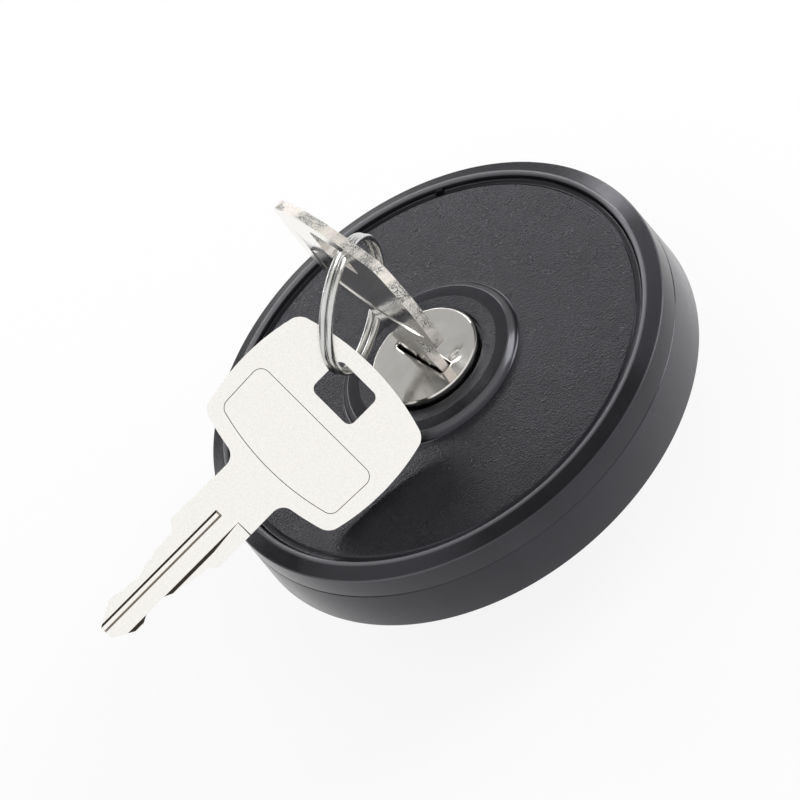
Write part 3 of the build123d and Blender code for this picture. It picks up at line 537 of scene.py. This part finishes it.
def key_metal():
    """Nickel plate: pale and bright on the faces; torn in patches on the
    sheared edges, which the face attribute 'sheared' marks.  The milled walls
    and the panel rim get painted shade, brownish to near black, which the
    second face attribute marks."""
    material, tree, skin = shader("key_nickel")
    marks = []
    for name in ("sheared", "painted_shade"):
        mark = tree.nodes.new("ShaderNodeAttribute")
        mark.attribute_name = name
        marks.append(mark.outputs["Fac"])
    sheared, painted_shade = marks
    tree.links.new(spread(tree, sheared, 1.0, 0.5, 0, 1), skin.inputs["Metallic"])

    fine = noise(tree, 0.3, detail=5)
    plate = two_tone(tree, fine, (0.88, 0.86, 0.825), (0.94, 0.92, 0.885), 0.3, 0.65)
    tears = noise(tree, 0.22, detail=4)
    torn = two_tone(tree, tears, (0.06, 0.055, 0.05), (0.8, 0.78, 0.74), 0.38, 0.6)
    clean = two_tone(tree, noise(tree, 0.5, detail=4), (0.78, 0.73, 0.68), (0.92, 0.87, 0.82))
    patches = spread(tree, noise(tree, 5.0, detail=2), 0, 1, 0.44, 0.56)
    # Painted shade on groove walls and the panel rim: brownish where half marked, near black where
    # fully marked.
    shade_colour = two_tone(tree, painted_shade, (0.50, 0.43, 0.35), (0.05, 0.042, 0.035), 0.5, 1.0)
    shade_amount = spread(tree, painted_shade, 0, 1, 0.0, 0.4)
    metal = blended(tree, sheared, plate, blended(tree, patches, clean, torn))

    plate_gloss = spread(tree, noise(tree, 0.7, detail=5), 0.12, 0.19)
    shear_gloss = spread(tree, noise(tree, 0.3, detail=4), 0.45, 0.62)
    gloss = mixed(tree, shade_amount, mixed(tree, sheared, plate_gloss, shear_gloss), 0.6)
    bump = raised(tree, noise(tree, 0.25, detail=3), 0.002)
    coat(tree, skin, blended(tree, shade_amount, metal, shade_colour), gloss, bump)
    return material


def plated_key(name, node, normal, tipward, painted_shade_share, body):
    """A merged copy of the key's node.  Of its faces, those square to the
    flat face's normal are flat, the slanting ones are milled walls, the low
    upright ones are the rim of the bow's panel, and the rest are sheared.
    The rim is eased, and it and the milled walls get painted shade of the given share, the milled
    walls facing one way across the key in full and the others half."""
    flat, slanting = 0.97, 0.5  # cosine of the turn from the flat face
    panel_depth = 0.25 * MM
    normal = np.array(normal)
    across = np.cross(normal, tipward)
    mesh = nodes[node].data.copy()
    mesh.name = name
    shape = bmesh.new()
    shape.from_mesh(mesh)
    bmesh.ops.remove_doubles(shape, verts=shape.verts, dist=1e-6)
    in_plane = np.radians(1.0)
    bmesh.ops.dissolve_limit(shape, angle_limit=in_plane, verts=shape.verts, edges=shape.edges)
    shape.normal_update()
    sheared = shape.faces.layers.float.new("sheared")
    painted_shade = shape.faces.layers.float.new("painted_shade")
    panel = []
    for face in shape.faces:
        square = abs(float(np.dot(face.normal, normal)))
        depths = [float(np.dot(vertex.co, normal)) for vertex in face.verts]
        if square > flat:
            continue
        if square > slanting:
            # Painted shade: full on walls facing across the key, half on the others.
            face[painted_shade] = painted_shade_share if np.dot(face.normal, across) > 0.3 else 0.5 * painted_shade_share
        elif max(depths) - min(depths) < panel_depth:
            panel.append(face)
            face[painted_shade] = painted_shade_share
        else:
            face[sheared] = 1.0
    rim = set(panel)
    edges = {edge for face in panel for edge in face.edges if len(rim & set(edge.link_faces)) == 1}
    eased = bmesh.ops.bevel(
        shape, geom=list(edges), offset=0.05 * MM, segments=2, affect="EDGES", profile=0.5
    )
    for face in eased["faces"]:
        face[painted_shade] = painted_shade_share
    shape.to_mesh(mesh)
    shape.free()
    mesh.materials.clear()
    mesh.materials.append(nickel)
    mesh.shade_smooth()
    mesh.set_sharp_from_angle(angle=np.radians(25))
    piece = bpy.data.objects.new(name, mesh)
    bpy.context.scene.collection.objects.link(piece)
    soften = piece.modifiers.new("rolled_edges", "BEVEL")
    soften.width = 0.09 * MM
    soften.segments = 3
    soften.limit_method = "ANGLE"
    soften.angle_limit = np.radians(50)
    soften.harden_normals = True
    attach(piece, body)
    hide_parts(node)


nickel = key_metal()
plated_key(
    "key_in_lock",
    "key_1",
    normal=(-0.983, -0.182, 0.0),
    tipward=(0.006, -0.033, -0.999),
    painted_shade_share=0.0,
    body="main_key",
)
plated_key(
    "spare_key_plated",
    "key_2",
    normal=(0.013, -0.751, 0.660),
    tipward=(-0.997, -0.061, -0.050),
    painted_shade_share=1.0,
    body="spare_key",
)


# ------------------------------------------------------------------ split ring
# Round spring wire, bright plated and coiled twice, so that a key can be
# worked on between its turns.
ring_wire = bare_metal(
    "ring_wire", (0.58, 0.58, 0.57), (0.72, 0.72, 0.71), 0.16, 0.5, depth=0.003
)
finish_node("key_ring", ring_wire)


# ------------------------------------------------------------------ floor
# A sheet of white paper under the part.  Seen directly, or in a gloss or
# through glass, most of it glows at white, and the rest takes the shadow.
FLOOR_HALF = 3.0
FLOOR_HEIGHT = -0.0193
GLOW_SHARE = 0.86

floor_mesh = bpy.data.meshes.new("floor")
floor_signs = ((-1, -1), (1, -1), (1, 1), (-1, 1))
floor_corners = [(x * FLOOR_HALF, y * FLOOR_HALF, FLOOR_HEIGHT) for x, y in floor_signs]
floor_mesh.from_pydata(floor_corners, [], [(0, 1, 2, 3)])
floor = bpy.data.objects.new("floor", floor_mesh)
bpy.context.scene.collection.objects.link(floor)

paper, tree, skin = shader("paper_floor")
skin.inputs["Base Color"].default_value = (0.9, 0.9, 0.9, 1)
skin.inputs["Roughness"].default_value = 0.9
ray = tree.nodes.new("ShaderNodeLightPath")
seen = tree.nodes.new("ShaderNodeMath")
tree.links.new(ray.outputs["Is Camera Ray"], seen.inputs[0])
tree.links.new(ray.outputs["Is Glossy Ray"], seen.inputs[1])
any_seen = tree.nodes.new("ShaderNodeMath")
any_seen.use_clamp = True
tree.links.new(seen.outputs["Value"], any_seen.inputs[0])
tree.links.new(ray.outputs["Is Transmission Ray"], any_seen.inputs[1])
share = tree.nodes.new("ShaderNodeMath")
share.operation = "MULTIPLY"
share.inputs[1].default_value = GLOW_SHARE
tree.links.new(any_seen.outputs["Value"], share.inputs[0])
glow = tree.nodes.new("ShaderNodeEmission")
glow.inputs["Strength"].default_value = 1.0
blend = tree.nodes.new("ShaderNodeMixShader")
tree.links.new(share.outputs["Value"], blend.inputs["Fac"])
tree.links.new(skin.outputs["BSDF"], blend.inputs[1])
tree.links.new(glow.outputs["Emission"], blend.inputs[2])
tree.links.new(blend.outputs["Shader"], tree.nodes["Material Output"].inputs["Surface"])
floor_mesh.materials.append(paper)


# ------------------------------------------------------------------ room and lamps
# A studio that is white towards the viewer, dark to the sides and above, with
# a paler wall behind the part, and four soft lamps at a plain level.
ROOM_FRONT, ROOM_BACK = -0.55, 1.0  # of the direction's Y, for the walls' 0 and 1
WALL_TONES = ((0.0, 1.0), (0.42, 0.10), (0.78, 0.12), (0.84, 0.60), (0.93, 0.28), (1.0, 0.25))

world = bpy.data.worlds.new("studio")
bpy.context.scene.world = world
world.use_nodes = True
sky = world.node_tree
direction = sky.nodes.new("ShaderNodeTexCoord")
parts = sky.nodes.new("ShaderNodeSeparateXYZ")
sky.links.new(direction.outputs["Generated"], parts.inputs["Vector"])
backward = sky.nodes.new("ShaderNodeMapRange")
backward.inputs["From Min"].default_value = ROOM_FRONT
backward.inputs["From Max"].default_value = ROOM_BACK
sky.links.new(parts.outputs["Y"], backward.inputs["Value"])
walls = sky.nodes.new("ShaderNodeValToRGB")
tones = walls.color_ramp.elements
for place, grey in WALL_TONES[1:-1]:
    tones.new(place).color = (grey, grey, grey, 1)
for end in (0, -1):
    place, grey = WALL_TONES[end]
    tones[end].position = place
    tones[end].color = (grey, grey, grey, 1)
sky.links.new(backward.outputs["Result"], walls.inputs["Fac"])
sky.links.new(walls.outputs["Color"], sky.nodes["Background"].inputs["Color"])
sky.nodes["Background"].inputs["Strength"].default_value = 1.0


def softbox(name, place, width, height, power):
    """Area lamp at place, aimed at the middle of the shell."""
    lamp = bpy.data.lights.new(name, "AREA")
    lamp.shape = "RECTANGLE"
    lamp.size = width
    lamp.size_y = height
    lamp.energy = power
    holder = bpy.data.objects.new(name, lamp)
    holder.location = place
    aim = Vector((0, 0, 0.005)) - Vector(place)
    holder.rotation_euler = aim.to_track_quat("-Z", "Y").to_euler()
    bpy.context.scene.collection.objects.link(holder)


softbox("back_light", (0.05, 0.55, 0.29), width=1.1, height=0.10, power=1.8)
softbox("side_light", (0.6, -0.05, 0.33), width=0.36, height=0.36, power=2.8)
softbox("top_light", (-0.7, 0.1, 0.9), width=1.0, height=1.0, power=2.4)
softbox("shoulder_light", (0.43, 0.44, 0.69), width=0.48, height=0.48, power=0.6)


# ------------------------------------------------------------------ camera
# Looks down at the cover at 42 degrees, rolled so that the cap's far side is
# at the upper right.
VIEW_PLACE = (-0.00691, -0.33553, 0.31013)
view = bpy.data.cameras.new("view")
view.lens = 138.24
view.sensor_width = 36.0
holder = bpy.data.objects.new("view", view)
forward = Vector((0.0, 0.7426, -0.6697)).normalized()
upward = Vector((0.6520, 0.5078, 0.5631))
side = forward.cross(upward).normalized()
upward = side.cross(forward)
turn = holder.matrix_world.copy()
for row in range(3):
    turn[row][:] = side[row], upward[row], -forward[row], VIEW_PLACE[row]
holder.matrix_world = turn
bpy.context.scene.collection.objects.link(holder)
bpy.context.scene.camera = holder
bpy.context.scene.view_settings.view_transform = "Standard"
